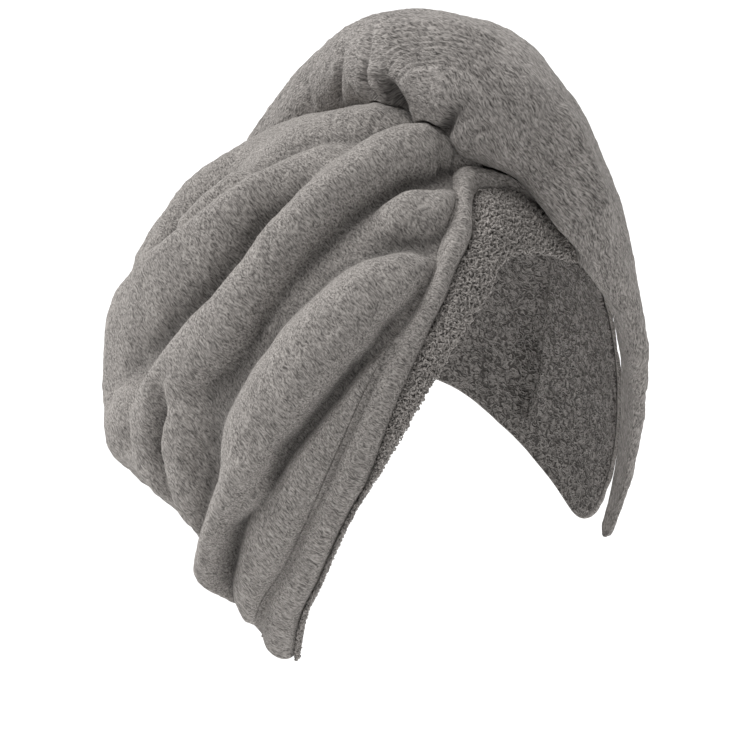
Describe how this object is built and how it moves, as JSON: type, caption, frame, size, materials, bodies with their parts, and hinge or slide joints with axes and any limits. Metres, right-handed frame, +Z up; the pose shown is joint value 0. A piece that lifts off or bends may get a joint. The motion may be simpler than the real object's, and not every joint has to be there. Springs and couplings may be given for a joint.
{
  "type": "hair turban towel",
  "caption": "Plush hair turban towel in its worn form: gathered hood, turned front hem with curly facing, thick twisted tail over the crown, buttoned at the nape",
  "frame": {"origin": "the centre of the head that wears the towel, in the open hollow of the hood", "axes": "+Z up to the crown, -Y out of the face opening, +X to the wearer's left"},
  "size_m": [0.1787, 0.195, 0.2032],
  "materials": {
    "velour": "short soft pile, warm grey",
    "terry": "curly looped pile, warm grey",
    "button": "satin, matched to the cloth"
  },
  "bodies": {
    "root": {"hood": "velour", "front_hem": "velour", "front_facing": "terry", "twisted_tail": "velour", "nape_button": "button"}
  },
  "joints": []
}
